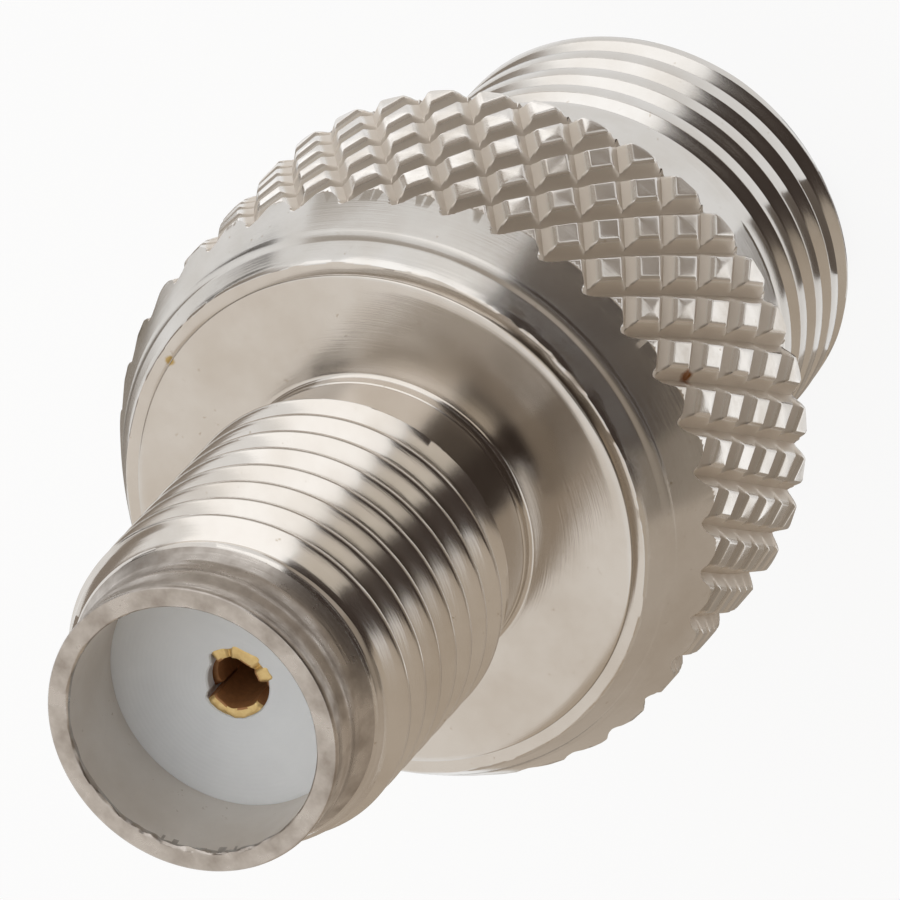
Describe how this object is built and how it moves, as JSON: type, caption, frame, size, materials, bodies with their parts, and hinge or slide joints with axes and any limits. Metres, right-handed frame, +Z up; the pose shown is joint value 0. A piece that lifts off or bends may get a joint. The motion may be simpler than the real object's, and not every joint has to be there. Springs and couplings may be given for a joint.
{
  "type": "coaxial adapter",
  "caption": "Straight coaxial adapter: slim threaded jack with a gold socket, turned flange, diamond-knurled grip and a wider threaded plug end, nickel plated.",
  "frame": {"origin": "on the axis at the end face of the wide plug end, which the adapter stands on", "axes": "+Z up the axis, from the wide plug end to the slim jack end"},
  "size_m": [0.0114, 0.0114, 0.0212],
  "materials": {
    "front_shell": "bright nickel plating over turned brass",
    "knurled_body": "bright nickel plating over turned and knurled brass",
    "front_insulator": "white PTFE, satin",
    "rear_insulator": "white PTFE, satin",
    "centre_contact": "gold plating over turned brass"
  },
  "bodies": {
    "root": {"front_shell": "front_shell", "knurled_body": "knurled_body", "front_insulator": "front_insulator", "rear_insulator": "rear_insulator", "centre_contact": "centre_contact"}
  },
  "joints": []
}
